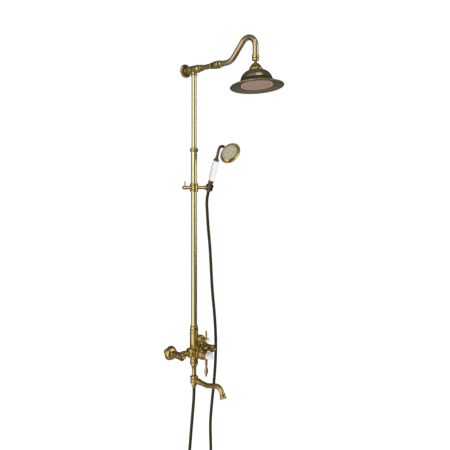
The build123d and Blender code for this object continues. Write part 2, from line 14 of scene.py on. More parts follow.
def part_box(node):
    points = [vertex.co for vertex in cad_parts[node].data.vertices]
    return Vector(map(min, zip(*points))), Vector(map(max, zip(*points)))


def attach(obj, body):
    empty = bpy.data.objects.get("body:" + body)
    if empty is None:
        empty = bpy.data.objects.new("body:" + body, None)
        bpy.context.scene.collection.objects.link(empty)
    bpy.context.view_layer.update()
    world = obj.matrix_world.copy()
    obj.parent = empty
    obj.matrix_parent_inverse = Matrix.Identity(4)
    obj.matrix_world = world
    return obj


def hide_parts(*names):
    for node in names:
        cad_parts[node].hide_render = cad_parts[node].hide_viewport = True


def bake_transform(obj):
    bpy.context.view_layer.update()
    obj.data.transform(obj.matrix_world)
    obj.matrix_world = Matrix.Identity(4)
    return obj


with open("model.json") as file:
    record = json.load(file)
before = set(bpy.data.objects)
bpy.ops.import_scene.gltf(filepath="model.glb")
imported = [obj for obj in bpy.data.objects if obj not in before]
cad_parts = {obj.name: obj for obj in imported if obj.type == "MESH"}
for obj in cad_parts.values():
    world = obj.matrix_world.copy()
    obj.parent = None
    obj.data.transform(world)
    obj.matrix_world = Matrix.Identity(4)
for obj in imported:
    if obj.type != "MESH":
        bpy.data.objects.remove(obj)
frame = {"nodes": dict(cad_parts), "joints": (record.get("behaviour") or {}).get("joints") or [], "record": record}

bl_info = {
    "name": "Shower column",
    "version": (1, 0, 0),
    "blender": (4, 5, 0),
    "location": "3D View > Sidebar > Shower column",
    "description": "Adds the finished surfaces of an exposed shower column",
    "category": "Object",
}

MM = 0.001
WARM_SIDE = (-0.996, -0.092, 0.0)    # direction of the room's light side
FACE_TURN = 11.5                     # degrees that the hand shower's spray face looks down
FACE_OUT, FACE_UP = 74.0, 161.0      # middle of that face from the foot of the handle
HEAD_RINGS = [(1, 0.0)] + [(6 * ring, 9.0 * ring) for ring in range(1, 6)]    # bores, ring radius
HANDSET_RINGS = [(6, 6.0), (12, 13.0), (18, 20.0), (24, 26.0)]
HEAD_BORE, HANDSET_BORE = 2.96, 1.66    # radius of the painted shade in each bore, just over the radius of the spray plates' bores
FLOOR_HALF = 150.0
SOFTBOXES = (                        # name, spot, target, size, watts
    ("right_softbox", (1.26, -2.16, 1.1), (0.0, -0.1, 0.9), (1.7, 2.0), 16),
    ("front_softbox", (-2.1, -1.1, 1.3), (0.0, -0.1, 0.4), (0.7, 1.6), 3),
    ("top_softbox", (-0.6, -1.6, 2.5), (0.0, -0.2, 0.6), (1.2, 1.2), 6),
)
CAMERA_SPOT = (-1.448, -1.678, 0.635)
CAMERA_TURN = -44.7
CAMERA_SHIFT = -0.0956
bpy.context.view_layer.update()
NODES = frame["nodes"]
RECORD = frame["record"]
BODY_OF = {node: body for body, nodes in RECORD["behaviour"]["bodies"].items() for node in nodes}
PIVOT = {joint["name"]: [v / MM for v in joint.get("pos_m", (0, 0, 0))] for joint in frame["joints"]}
COLUMN_OUT = -PIVOT["spout_swivel"][1]
LEVER_OUT = -PIVOT["diverter_turn"][1]
DIVERTER_HEIGHT = PIVOT["diverter_turn"][2]
SPOUT_HEIGHT = PIVOT["spout_swivel"][2]
ARM_REACH, BALL_HEIGHT = -PIVOT["head_tilt"][1], PIVOT["head_tilt"][2]
CRADLE_X, SLIDER_HEIGHT = PIVOT["cradle_tilt"][0], PIVOT["cradle_tilt"][2]
TAIL_RADIUS = 10.4775
INLET_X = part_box("inlet_tails")[1][0] / MM - TAIL_RADIUS
ARM_HEIGHT = 0.5 * (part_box("top_wall_flange")[0][2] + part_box("top_wall_flange")[1][2]) / MM
COLLAR_HEIGHT = 0.5 * (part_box("telescope_collar")[0][2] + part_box("telescope_collar")[1][2]) / MM


# ---- places ---------------------------------------------------------------------------------------
def place(x, y, z, *turns):
    """Matrix in millimetres: the turns in order, each (degrees, axis), and then the shift."""
    where = Matrix.Translation((x, y, z))
    for degrees, axis in turns:
        where = where @ Matrix.Rotation(math.radians(degrees), 4, axis)
    return where


def on_column(z=0.0):
    return place(0, -COLUMN_OUT, z)


def outwards(x, z):
    """Axis runs from the wall into the room."""
    return place(x, 0, z, (90, "X"))


def sideways(z, left=False):
    """Axis runs along the wall from the riser, to the right or, for left, to the left."""
    return place(0, -COLUMN_OUT, z, (-90 if left else 90, "Y"))


HEAD = place(0, -ARM_REACH, BALL_HEIGHT, (2.1, "Y"), (-7.1, "X"))
HANDSET = place(CRADLE_X, -COLUMN_OUT, SLIDER_HEIGHT, (20, "X"), (-8, "Z"))
HANDSET_FACE = HANDSET @ place(0, -FACE_OUT, FACE_UP, (90 + FACE_TURN, "X"))


# ---- surfaces -------------------------------------------------------------------------------------
def smoothed(line, passes, kind):
    """Line of points after passes of the weights 1 2 1, wrapped round, mirrored in the axis or held."""
    for _ in range(passes):
        if kind == "loop":
            before, after = np.roll(line, 1, axis=0), np.roll(line, -1, axis=0)
        else:
            flip = np.array([-1.0, 1.0]) if kind == "axis" else np.ones(line.shape[1])
            before = np.vstack([line[1] * flip, line[:-1]])
            after = np.vstack([line[1:], line[-2] * flip])
        line = (before + 2 * line + after) / 4
    return line


def drawn(outline, step):
    """Evenly spaced points on an outline of (radius, height, bow) corners: each stretch is its chord
    plus four times the bow times t (1 - t) to the left of travel."""
    closed = outline[0][0] > 0 or outline[-1][0] > 0
    corners = [(*corner, 0)[:3] for corner in outline]
    pairs = list(zip(corners, corners[1:] + corners[:1]))
    stretches = []
    for (r0, h0, _), (r1, h1, bow) in pairs if closed else pairs[:-1]:
        chord = np.array([r1 - r0, h1 - h0])
        length = float(np.hypot(*chord))
        t = np.linspace(0, 1, max(2, math.ceil(length / step)) + 1)[:-1, None]
        left = np.array([-chord[1], chord[0]]) / length
        stretches.append(np.array([r0, h0]) + chord * t + left * 4 * bow * t * (1 - t))
    if not closed:
        stretches.append(np.array([corners[-1][:2]]))
    return np.vstack(stretches), closed


def grid(points, shade, wrap_rows):
    """Quads over a rows by columns grid of points that wraps round its columns, faces outwards."""
    rows, columns = points.shape[:2]
    index = np.arange(rows * columns).reshape(rows, columns)
    if wrap_rows:
        index = np.vstack([index, index[:1]])
    across = np.roll(index, -1, axis=1)
    quads = np.stack([index[:-1], across[:-1], across[1:], index[1:]], axis=-1).reshape(-1, 4)
    flat = points.reshape(-1, 3)
    a, b, c, d = (flat[quads[:, i]] for i in range(4))
    volume = np.einsum("ij,ij->i", a, np.cross(b, c)).sum() + np.einsum("ij,ij->i", a, np.cross(c, d)).sum()
    if volume < 0:
        quads = quads[:, ::-1]
    return flat, quads, np.broadcast_to(shade.reshape(rows, -1), (rows, columns)).reshape(-1)


def turned(outline, where, segments=72, step=0.45, swell=None, painted_shade_hollow=None):
    """Surface of revolution: the outline carried round its axis, radius r at angle a and height h,
    plus swell(a, h, r) where lugs or flutes stand out.  Corners are eased by smoothing the line, and
    shade is how far the line lies inside its own running mean: grooves above 0, edges below.
    hollow (r, side) paints shade into a cavity: all within radius r whose normal looks to that side get the full
    groove value."""
    line, closed = drawn(outline, step)
    kind = "loop" if closed else "axis"
    line = smoothed(line, 2, kind)
    after = np.roll(line, -1, axis=0) - np.roll(line, 1, axis=0)
    area = np.sum(line[:, 0] * np.roll(line[:, 1], -1) - np.roll(line[:, 0], -1) * line[:, 1])
    normal = np.stack([after[:, 1], -after[:, 0]], axis=1) * np.sign(area)
    normal /= np.maximum(np.linalg.norm(normal, axis=1, keepdims=True), 1e-9)
    shade = np.sum((smoothed(line, 36, kind) - line) * normal, axis=1)
    # Painted shade: within the hollow the groove value is set to its full 0.5, so the finish colours the cavity
    # dark.
    if painted_shade_hollow:
        shade[(line[:, 0] < painted_shade_hollow[0]) & (normal[:, 1] * painted_shade_hollow[1] > 0.05)] = 0.5
    if not closed:
        line[[0, -1], 0] = 0
        shade[[0, -1]] = 0
    angle = np.linspace(0, 2 * math.pi, segments, endpoint=False)[None, :]
    radius, height = line[:, :1], line[:, 1:]
    if swell:
        radius = radius + swell(angle, height, radius)
    points = np.stack([radius * np.cos(angle), radius * np.sin(angle),
                       np.broadcast_to(height, (len(line), segments))], axis=-1)
    turn = np.array(where)
    return grid((points @ turn[:3, :3].T + turn[:3, 3]) * MM, np.clip(shade / 0.5, -1, 1), closed)


def rounded(corners, radii, step=1.5):
    """Points along straight runs joined by arcs: the arc at a corner starts its radius times the
    tangent of half the turn before it and keeps that radius to as far behind it."""
    corners = [np.array(corner, float) for corner in corners]
    pieces = [corners[0][None]]
    for before, here, after, radius in zip(corners, corners[1:], corners[2:], radii):
        entry = (here - before) / np.linalg.norm(here - before)
        leave = (after - here) / np.linalg.norm(after - here)
        turn = math.acos(float(np.clip(entry @ leave, -1, 1)))
        start = here - entry * radius * math.tan(turn / 2)
        inward = leave - entry * math.cos(turn)
        inward /= np.linalg.norm(inward)
        run = start - pieces[-1][-1]
        t = np.linspace(0, 1, max(2, int(np.linalg.norm(run) / step)) + 1)[1:-1, None]
        pieces.append(pieces[-1][-1] + run * t)
        angle = np.linspace(0, turn, max(8, int(radius * turn / step)))[:, None]
        pieces.append(start + radius * (np.sin(angle) * entry + (1 - np.cos(angle)) * inward))
    run = corners[-1] - pieces[-1][-1]
    t = np.linspace(0, 1, max(2, int(np.linalg.norm(run) / step)) + 1)[1:, None]
    pieces.append(pieces[-1][-1] + run * t)
    return np.vstack(pieces)


def carried(path, radius, side, segments=64, shade=None):
    """Round section carried along a path of points: each ring lies in the plane across the path, and
    its first direction is the fixed side vector with its part along the path taken out.  radius is
    one number, one a ring, or one a ring and angle.  Both ends close on the path."""
    along = np.gradient(path, axis=0)
    along /= np.linalg.norm(along, axis=1, keepdims=True)
    first = side - along * (along @ side)[:, None]
    first /= np.linalg.norm(first, axis=1, keepdims=True)
    second = np.cross(along, first)
    angle = np.linspace(0, 2 * math.pi, segments, endpoint=False)
    radius = np.broadcast_to(np.asarray(radius, float).reshape(-1, 1) if np.ndim(radius) < 2 else radius,
                             (len(path), segments))[..., None]
    rings = path[:, None] + radius * (first[:, None] * np.cos(angle)[:, None]
                                      + second[:, None] * np.sin(angle)[:, None])
    ends = [np.repeat(path[i][None], segments, axis=0)[None] for i in (0, -1)]
    shade = np.zeros(len(path)) if shade is None else shade
    return grid(np.concatenate([ends[0], rings, ends[1]]), np.concatenate([[0], shade, [0]]), False)


def distance_along(path):
    return np.concatenate([[0], np.cumsum(np.linalg.norm(np.diff(path, axis=0), axis=1))])


def mesh_piece(name, surfaces):
    """One mesh object of closed surfaces, poles merged, smooth except at sharp edges."""
    counts = np.cumsum([0] + [len(points) for points, _, _ in surfaces])
    points = np.concatenate([s[0] for s in surfaces])
    quads = np.concatenate([s[1] + start for s, start in zip(surfaces, counts)])
    mesh = bpy.data.meshes.new(name)
    mesh.vertices.add(len(points))
    mesh.vertices.foreach_set("co", points.astype(np.float32).ravel())
    mesh.loops.add(quads.size)
    mesh.loops.foreach_set("vertex_index", quads.astype(np.int32).ravel())
    mesh.polygons.add(len(quads))
    mesh.polygons.foreach_set("loop_start", np.arange(0, quads.size, 4, dtype=np.int32))
    mesh.update(calc_edges=True)
    recess = mesh.attributes.new("recess", "FLOAT", "POINT")
    recess.data.foreach_set("value", np.concatenate([s[2] for s in surfaces]).astype(np.float32))
    work = bmesh.new()
    work.from_mesh(mesh)
    bmesh.ops.remove_doubles(work, verts=work.verts, dist=1e-6)
    work.to_mesh(mesh)
    work.free()
    mesh.polygons.foreach_set("use_smooth", np.ones(len(mesh.polygons), bool))
    mesh.set_sharp_from_angle(angle=math.radians(50))
    piece = bpy.data.objects.new(name, mesh)
    bpy.context.scene.collection.objects.link(piece)
    return piece


def stand_for(node, look, surfaces, name=None):
    """New piece in place of a CAD node, with its body, slot and finish."""
    piece = mesh_piece(name or "fine_" + node, surfaces)
    piece.data.materials.append(finish(look))
    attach(piece, BODY_OF[node])
    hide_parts(node)
    return piece


def coat(look, *nodes):
    """Gives CAD nodes that keep their own surface a finish."""
    for node in nodes:
        piece = NODES[node]
        if not piece.data.materials:
            piece.data.materials.append(finish(look))
        for holder in piece.material_slots:
            holder.material = finish(look)


# ---- shader helpers -------------------------------------------------------------------------------
class Value:
    """A shader output that takes part in arithmetic; each operation adds one Math node."""

    def __init__(self, graph, socket):
        self.graph, self.socket = graph, socket

    def _sum(self, operation, first, second):
        return self.graph.maths(operation, first, second)

    def __add__(self, other):
        return self._sum("ADD", self, other)

    def __sub__(self, other):
        return self._sum("SUBTRACT", self, other)

    def __rsub__(self, other):
        return self._sum("SUBTRACT", other, self)

    def __mul__(self, other):
        return self._sum("MULTIPLY", self, other)

    def __pow__(self, other):
        return self._sum("POWER", self, other)

    __radd__, __rmul__ = __add__, __mul__

    def held(self):
        """The value kept between 0 and 1."""
        return self.graph.add("ShaderNodeMath", {"operation": "ADD", "use_clamp": True}, {0: self, 1: 0.0})


class Graph:
    """Node tree of one finish, or of the surroundings."""

    def __init__(self, name, world=None):
        self.material = world or bpy.data.materials.new(name)
        self.material.use_nodes = True
        self.tree = self.material.node_tree
        kind = "BACKGROUND" if world else "BSDF_PRINCIPLED"
        self.shader = next(n for n in self.tree.nodes if n.type == kind)

    def add(self, kind, settings=None, inputs=None, output=0):
        node = self.tree.nodes.new(kind)
        for key, value in (settings or {}).items():
            setattr(node, key, value)
        self.join(node, inputs or {})
        return Value(self, node.outputs[output])

    def join(self, node, inputs):
        for key, value in inputs.items():
            if isinstance(value, Value):
                self.tree.links.new(value.socket, node.inputs[key])
            else:
                node.inputs[key].default_value = value

    def finish(self, **inputs):
        self.join(self.shader, {key.replace("_", " "): value for key, value in inputs.items()})
        return self.material

    def maths(self, operation, *values):
        return self.add("ShaderNodeMath", {"operation": operation}, dict(enumerate(values)))

    def place(self, stretch=(1, 1, 1)):
        where = self.add("ShaderNodeTexCoord", output="Object")
        return self.add("ShaderNodeMapping", inputs={"Vector": where, "Scale": stretch})

    def noise(self, scale, detail=3.0, stretch=(1, 1, 1)):
        return self.add("ShaderNodeTexNoise", inputs={"Vector": self.place(stretch), "Scale": scale,
                                                      "Detail": detail, "Roughness": 0.55})

    def cells(self, scale):
        return self.add("ShaderNodeTexVoronoi", inputs={"Vector": self.place(), "Scale": scale})

    def recess(self):
        return self.add("ShaderNodeAttribute", {"attribute_name": "recess"}, output="Fac")

    def mix(self, factor, first, second):
        return self.add("ShaderNodeMix", {"data_type": "RGBA"}, {0: factor, 6: first, 7: second}, output=2)

    def bump(self, height, strength, distance):
        return self.add("ShaderNodeBump", inputs={"Height": height, "Strength": strength,
                                                  "Distance": distance})


def rgba(colour, k=1.0):
    return (colour[0] * k, colour[1] * k, colour[2] * k, 1.0)


def settings():
    return bpy.context.scene.shower_column


# ---- finishes -------------------------------------------------------------------------------------
def aged_metal(name, colour, dark, wear, rough, stretch=(1, 1, 1)):
    """Lacquered old brass: dark oxide in grooves and in loose clouds, painted shade of that dark colour in
    hollows, bright on worn edges, with fine brushing along the stretched direction."""
    g = Graph(name)
    clouds = g.noise(26, 1)
    brushing = g.noise(1300, 2, stretch)
    recess = g.recess()
    # Dark where the recess attribute is high: oxide in the grooves and in clouds, and painted shade in the hollows
    # that turned() marks.
    patina_and_painted_shade = (recess * 2.2 + (clouds - 0.45) * 0.5 + (brushing - 0.5) * 0.1).held()
    worn = ((0.0 - recess) * 1.2 + (clouds - 0.6) * 0.3).held() * wear
    body = g.mix(patina_and_painted_shade, rgba(colour), rgba(dark))
    shade = g.mix(worn, body, rgba(colour, 1.25))
    bump = g.bump(brushing, 0.03, 0.0001)
    return g.finish(Base_Color=shade, Metallic=1.0 - patina_and_painted_shade * 0.25,
                    Roughness=(rough + patina_and_painted_shade * 0.16 + (brushing - 0.5) * 0.08 - worn * 0.05),
                    Coat_Weight=0.12, Coat_Roughness=0.10, Normal=bump)


def aged_brass():
    s = settings()
    return aged_metal("aged_brass", s.brass, s.patina_and_painted_shade, 0.9, 0.16)


def tube_brass():
    s = settings()
    return aged_metal("brushed_tube_brass", s.tube_brass, s.tube_shade, 0.4, 0.25, (1, 1, 0.03))


def arm_brass():
    s = settings()
    return aged_metal("brushed_arm_brass", s.arm_brass, s.tube_shade, 0.5, 0.22, (1, 0.06, 0.06))


def head_bronze():
    s = settings()
    return aged_metal("olive_head_bronze", s.bronze, s.patina_and_painted_shade, 0.5, 0.24)


def dark_bronze():
    s = settings()
    return aged_metal("dark_bronze", s.dark_bronze, s.patina_and_painted_shade, 0.9, 0.22)


def hose_metal():
    """Dark spiral-wound sleeve: bright ridges, near black in the helical grooves."""
    g = Graph("hose_metal")
    groove = g.recess().held()
    clouds = g.noise(30, 3)
    shade = g.mix(groove, rgba(settings().hose), rgba(settings().hose, 0.12))
    shade = g.mix((clouds - 0.4).held() * 0.6, shade, rgba(settings().patina_and_painted_shade))
    return g.finish(Base_Color=shade, Metallic=0.9, Roughness=0.30 + groove * 0.3,
                    Normal=g.bump(g.noise(1500, 2), 0.1, 0.0003))


def porcelain():
    """Glazed white ceramic with faint grey clouds, tiny pits and a clear glaze."""
    g = Graph("white_porcelain")
    clouds = g.noise(55, 4)
    specks = (0.06 - g.cells(420)).held() * 6.0
    shade = g.mix((clouds - 0.35).held() * 0.5, rgba(settings().porcelain), (0.78, 0.82, 0.88, 1))
    shade = g.mix(specks.held() * 0.25, shade, (0.45, 0.44, 0.42, 1))
    return g.finish(Base_Color=shade, Roughness=0.16 + clouds * 0.08, Coat_Weight=0.8,
                    Coat_Roughness=0.04, Normal=g.bump(g.noise(45, 2), 0.06, 0.0015))


def paint_bore_shade(g, shade, where, rings, radius):
    """The colour shade, with painted shade near black over the bores of a plate that lies across the axis of
    where.  A point at distance r from that axis and at an angle t from the nearest of the bores on a ring of
    radius d is in a bore where r^2 + d^2 - 2 r d cos(t) is under the bore's radius squared."""
    spot = g.add("ShaderNodeMapping", {"vector_type": "TEXTURE"}, {
        "Vector": g.add("ShaderNodeTexCoord", output="Object"), "Location": where.translation * MM,
        "Rotation": where.to_euler(), "Scale": (MM, MM, MM)})
    x, y = (g.add("ShaderNodeSeparateXYZ", inputs={0: spot}, output=axis) for axis in (0, 1))
    out = g.maths("SQRT", x * x + y * y)
    angle = g.maths("ARCTAN2", y, x)
    inside = 0.0
    for count, distance in rings:
        sector = 2 * math.pi / count
        turn = angle - g.maths("ROUND", angle * (1 / sector)) * sector
        gap = out * out + distance ** 2 - out * g.maths("COSINE", turn) * (2 * distance)
        inside = inside + g.maths("LESS_THAN", gap, radius ** 2)
    # Painted shade: inside the bores the colour is near black, as if no light reached them.
    return g.mix(inside, shade, (0.028, 0.018, 0.012, 1))


def spray_plate():
    """Pale satin plate with lime bloom and polishing marks; round its nozzle holes, which carry painted shade near
    black.
    """
    g = Graph("pale_spray_plate")
    bloom = g.noise(120, 4)
    marks = g.noise(900, 3)
    shade = g.mix((bloom - 0.35).held(), rgba(settings().face), rgba(settings().face, 0.78))
    # Painted shade, near black, in the nozzle holes.
    shade = paint_bore_shade(g, shade, HANDSET_FACE, HANDSET_RINGS, HANDSET_BORE)
    return g.finish(Base_Color=shade, Metallic=0.35, Roughness=0.34 + bloom * 0.2,
                    Normal=g.bump(marks + bloom, 0.12, 0.0004))


def head_plate():
    """Rosy polished plate of the rain head."""
    g = Graph("rosy_head_plate")
    bloom = g.noise(90, 4)
    shade = g.mix((bloom - 0.35).held(), rgba(settings().head_face), rgba(settings().head_face, 0.7))
    # Painted shade, near black, in the plate's bores.
    shade = paint_bore_shade(g, shade, HEAD, HEAD_RINGS, HEAD_BORE)
    return g.finish(Base_Color=shade, Metallic=0.35, Roughness=0.30 + bloom * 0.2,
                    Normal=g.bump(g.noise(800, 3), 0.12, 0.0004))


def moulded(name, colour, rough):
    """Moulded nylon or rubber: fine grain and slight clouding."""
    g = Graph(name)
    grain = g.noise(1600, 3)
    shade = g.mix(g.noise(50, 3) * 0.5, rgba(colour), rgba(colour, 0.75))
    return g.finish(Base_Color=shade, Roughness=rough + grain * 0.15, Normal=g.bump(grain, 0.2, 0.0003))


def white_nylon():
    return moulded("white_nylon", (0.80, 0.80, 0.76), 0.42)


def black_rubber():
    return moulded("black_rubber", (0.02, 0.02, 0.02), 0.62)


def zinc_steel():
    """Zinc-plated steel with spangle."""
    g = Graph("zinc_steel")
    spangle = g.cells(260)
    shade = g.mix(spangle, (0.55, 0.56, 0.58, 1), (0.72, 0.72, 0.70, 1))
    return g.finish(Base_Color=shade, Metallic=1.0, Roughness=0.28 + spangle * 0.2,
                    Normal=g.bump(g.noise(900, 2), 0.1, 0.0004))


FINISHES = {}


def finish(look):
    """The material a finish function makes, made once."""
    if look not in FINISHES:
        FINISHES[look] = look()
    return FINISHES[look]


# ---- sizes and colours ----------------------------------------------------------------------------
def colour_property(name, description, default):
    return bpy.props.FloatVectorProperty(name=name, description=description, default=default,
                                         subtype="COLOR", size=3, min=0, max=1)


class ShowerColumnSettings(bpy.types.PropertyGroup):
    brass: colour_property("Brass", "Cast and turned brass", (0.64, 0.46, 0.15))
    # Dark colour of the oxide in grooves and of the hose's clouding; also the painted shade inside the rain head's
    # bell and the hand shower's head.
    patina_and_painted_shade: colour_property("Patina", "Oxide in the grooves", (0.035, 0.028, 0.010))
    tube_brass: colour_property("Tube brass", "Drawn tubes", (0.74, 0.68, 0.36))
    arm_brass: colour_property("Arm brass", "Swan-neck arm", (0.62, 0.49, 0.24))
    tube_shade: colour_property("Tube shade", "Clouding on the tubes", (0.50, 0.44, 0.20))
    bronze: colour_property("Bronze", "Rain head shell", (0.44, 0.37, 0.20))
    dark_bronze: colour_property("Dark bronze", "Hand shower neck and cradle", (0.24, 0.15, 0.10))
    hose: colour_property("Hose", "Spiral-wound hose sleeve", (0.11, 0.085, 0.04))
    porcelain: colour_property("Porcelain", "Glazed handle and caps", (0.95, 0.95, 0.94))
    face: colour_property("Spray face", "Hand shower spray plate", (0.72, 0.67, 0.50))
    head_face: colour_property("Head plate", "Rain head spray plate", (0.60, 0.43, 0.33))
    hose_pitch: bpy.props.FloatProperty(
        name="Hose pitch", description="Distance between two turns of the hose's sleeve",
        default=0.0032, min=0.002, max=0.006, unit="LENGTH")
    hose_groove: bpy.props.FloatProperty(
        name="Hose groove", description="Depth of the groove between two turns",
        default=0.0006, min=0.0, max=0.001, unit="LENGTH")
    hose_diameter: bpy.props.FloatProperty(
        name="Hose diameter", description="Outside diameter of the hose",
        default=0.012, min=0.010, max=0.016, unit="LENGTH")
    floor_drop: bpy.props.FloatProperty(
        name="Floor drop", description="Height of the water inlets above the floor",
        default=0.90, min=0.6, max=1.3, unit="LENGTH")
    lens: bpy.props.FloatProperty(
        name="Lens", description="Focal length of the camera in millimetres",
        default=46.48, min=20, max=120)


# ---- pieces ---------------------------------------------------------------------------------------
class PieceOperator:
    """What every operator here shares."""
    bl_options = {"REGISTER", "UNDO"}

    def execute(self, context):
        self.build()
        return {"FINISHED"}


class AddHose(PieceOperator, bpy.types.Operator):
    """Hangs the hose from the bottom of the column, round its loop and up to the hand shower"""
    bl_idname = "shower_column.add_hose"
    bl_label = "Hose"

    def build(self):
        lean = math.radians(20)
        top = Vector((0.079, -0.05 + 0.018 * math.sin(lean), 0.614 - 0.018 * math.cos(lean)))
        below_top = top + 0.029 * Vector((0, math.sin(lean), -math.cos(lean)))
        route = [
            (0, -0.050, -0.131), (0, -0.050, -0.150), (-0.0025, -0.0508, -0.184), (-0.009, -0.0505, -0.240),
            (-0.0165, -0.050, -0.310), (-0.0225, -0.049, -0.378), (-0.0215, -0.047, -0.430),
            (-0.004, -0.0435, -0.462), (0.028, -0.038, -0.481), (0.064, -0.031, -0.482),
            (0.096, -0.025, -0.463), (0.1135, -0.022, -0.428), (0.1125, -0.021, -0.374),
            (0.110, -0.021, -0.310), (0.113, -0.026, -0.236), (0.117, -0.035, -0.150),
            (0.1195, -0.042, -0.060), (0.1185, -0.0445, 0.032), (0.111, -0.045, 0.122),
            (0.098, -0.0455, 0.215), (0.0915, -0.046, 0.302), (0.0865, -0.045, 0.386),
            (0.0808, -0.041, 0.458), (0.0796, -0.0365, 0.522), tuple(below_top), tuple(top)]
        line = bpy.data.curves.new("hose_route", "CURVE")
        line.dimensions = "3D"
        spline = line.splines.new("NURBS")
        spline.points.add(len(route) - 1)
        spline.points.foreach_set("co", np.array([(*p, 1) for p in route], np.float32).ravel())
        spline.order_u = 3
        spline.use_endpoint_u = True
        line.resolution_u = 16
        holder = bpy.data.objects.new("hose_route", line)
        traced = bpy.data.meshes.new_from_object(holder)
        path = np.zeros(len(traced.vertices) * 3)
        traced.vertices.foreach_get("co", path)
        path = path.reshape(-1, 3)
        bpy.data.objects.remove(holder)
        bpy.data.meshes.remove(traced)
        along = distance_along(path)
        total = along[-1]
        stops = (0.0, total - 0.052, total - 0.022, total)
        names = ("hose", "hose_shoulder", "hose_end")
        pieces, lines = [], []
        for name, low, high in zip(names, stops, stops[1:]):
            rows = np.linspace(low, high, max(8, round((high - low) / settings().hose_pitch * 6)))
            centre = np.stack([np.interp(rows, along, path[:, i]) for i in range(3)], axis=1)
            pieces.append(self.sleeve(name, centre, rows))
            lines.append(centre)
        hose, shoulder, end = pieces
        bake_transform(hose)
        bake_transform(shoulder)
        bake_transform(end)
        for piece in pieces:
            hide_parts("shower_hose")

    def sleeve(self, name, centre, rows):
        """Radius is the outside one less a groove that winds once round in each pitch."""
        segments = 14
        angle = np.linspace(0, 2 * math.pi, segments, endpoint=False)
        phase = 2 * math.pi * rows[:, None] / settings().hose_pitch - angle[None, :]
        groove = (0.5 - 0.5 * np.cos(phase)) ** 3
        radius = settings().hose_diameter / 2 - settings().hose_groove * groove
        surface = carried(centre, radius, np.array([0.0, 1.0, 0.0]), segments)
        shade = np.concatenate([np.zeros((1, segments)), groove, np.zeros((1, segments))]).reshape(-1)
        piece = mesh_piece(name, [(surface[0], surface[1], shade)])
        piece.data.materials.append(finish(hose_metal))
        return piece


class AddTopFixing(PieceOperator, bpy.types.Operator):
    """Adds the wall flange, its socket and the tee that carries the riser and the arm"""
    bl_idname = "shower_column.add_top_fixing"
    bl_label = "Top fixing"

    def build(self):
        out = outwards(0, ARM_HEIGHT)
        stand_for("top_wall_flange", aged_brass, [turned([
            (24.6, 0), (26.0, 0), (26.0, 2.6), (24.8, 4.4, -0.5), (23.0, 4.8), (21.5, 6.4, -0.4),
            (15.2, 15.5, 2.0), (14.6, 15.5), (14.6, 14.0), (21.6, 3.6, -1.8), (24.6, 2.4)], out, 96)])
        stand_for("top_wall_socket", aged_brass, [turned([
            (9.1, 8), (13.4, 8), (13.4, 14), (12.9, 15), (12.9, 24), (13.4, 25), (13.4, 30), (14.4, 31),
            (14.4, 34), (9.1, 34)], out)])
        barrel = turned([
            (0, 20), (9, 20), (9, 34.2), (14.2, 34.2), (15.0, 36), (15.0, 40), (14.3, 41), (14.3, 43),
            (15.0, 44), (15.0, 64), (14.3, 65), (14.3, 67), (15.0, 68), (15.0, 70), (13.0, 80, -0.8),
            (11.2, 87), (12.4, 88), (12.4, 92), (0, 92)], out)
        socket = turned([
            (0, -26), (12.2, -26), (12.2, -22), (11.4, -21), (11.4, 0), (0, 0)], on_column(ARM_HEIGHT))
        stand_for("top_tee", aged_brass, [barrel, socket])
        coat(zinc_steel, "top_wall_plate", "top_wall_screws")


class AddArm(PieceOperator, bpy.types.Operator):
    """Adds the arm's collar, its swan-neck tube, the nut at its end and the ball"""
    bl_idname = "shower_column.add_arm"
    bl_label = "Arm"

    def build(self):
        out = outwards(0, ARM_HEIGHT)
        stand_for("arm_collar", aged_brass, [turned([
            (7.5, 92.2), (12.4, 92.2), (12.4, 94.6), (10.4, 95.6), (9.4, 112, 0.5), (9.4, 132),
            (10.2, 144, 0.3), (11.6, 144.8), (11.6, 147), (11.0, 147.7), (11.6, 148.4), (11.6, 150.6),
            (10.6, 151.4), (14.2, 174, -1.2), (14.2, 180), (13.2, 181), (13.2, 183), (14.2, 184),
            (13.6, 187, -0.4), (11.0, 189, 0.4), (11.0, 191.6), (12.8, 192.6), (12.8, 197), (11.6, 199),
            (10.1, 199), (10.1, 186), (7.5, 186)], out)])
        rise, first_bend = math.radians(47), 244.7
        top_corner = ARM_HEIGHT + math.tan(rise) * (ARM_REACH - first_bend)
        path = rounded([(0, -187, ARM_HEIGHT), (0, -first_bend, ARM_HEIGHT), (0, -ARM_REACH, top_corner),
                        (0, -ARM_REACH, 1050)], [50.0, 34.8], 2.0) * MM
        stand_for("arm_tube", arm_brass, [carried(path, 0.010, np.array([1.0, 0, 0]), 72)])
        end = place(0, -ARM_REACH, 0)
        stand_for("arm_nut", aged_brass, [turned([
            (4.7, 1043), (10.6, 1043), (12.4, 1044.6), (12.4, 1050), (11.6, 1050.8), (11.6, 1052.2),
            (12.4, 1053), (12.4, 1061), (11.4, 1063.4), (10.1, 1063.4), (10.1, 1048), (4.7, 1048)], end)])
        coat(dark_bronze, "ball_stud")
        coat(white_nylon, "ball_seat")


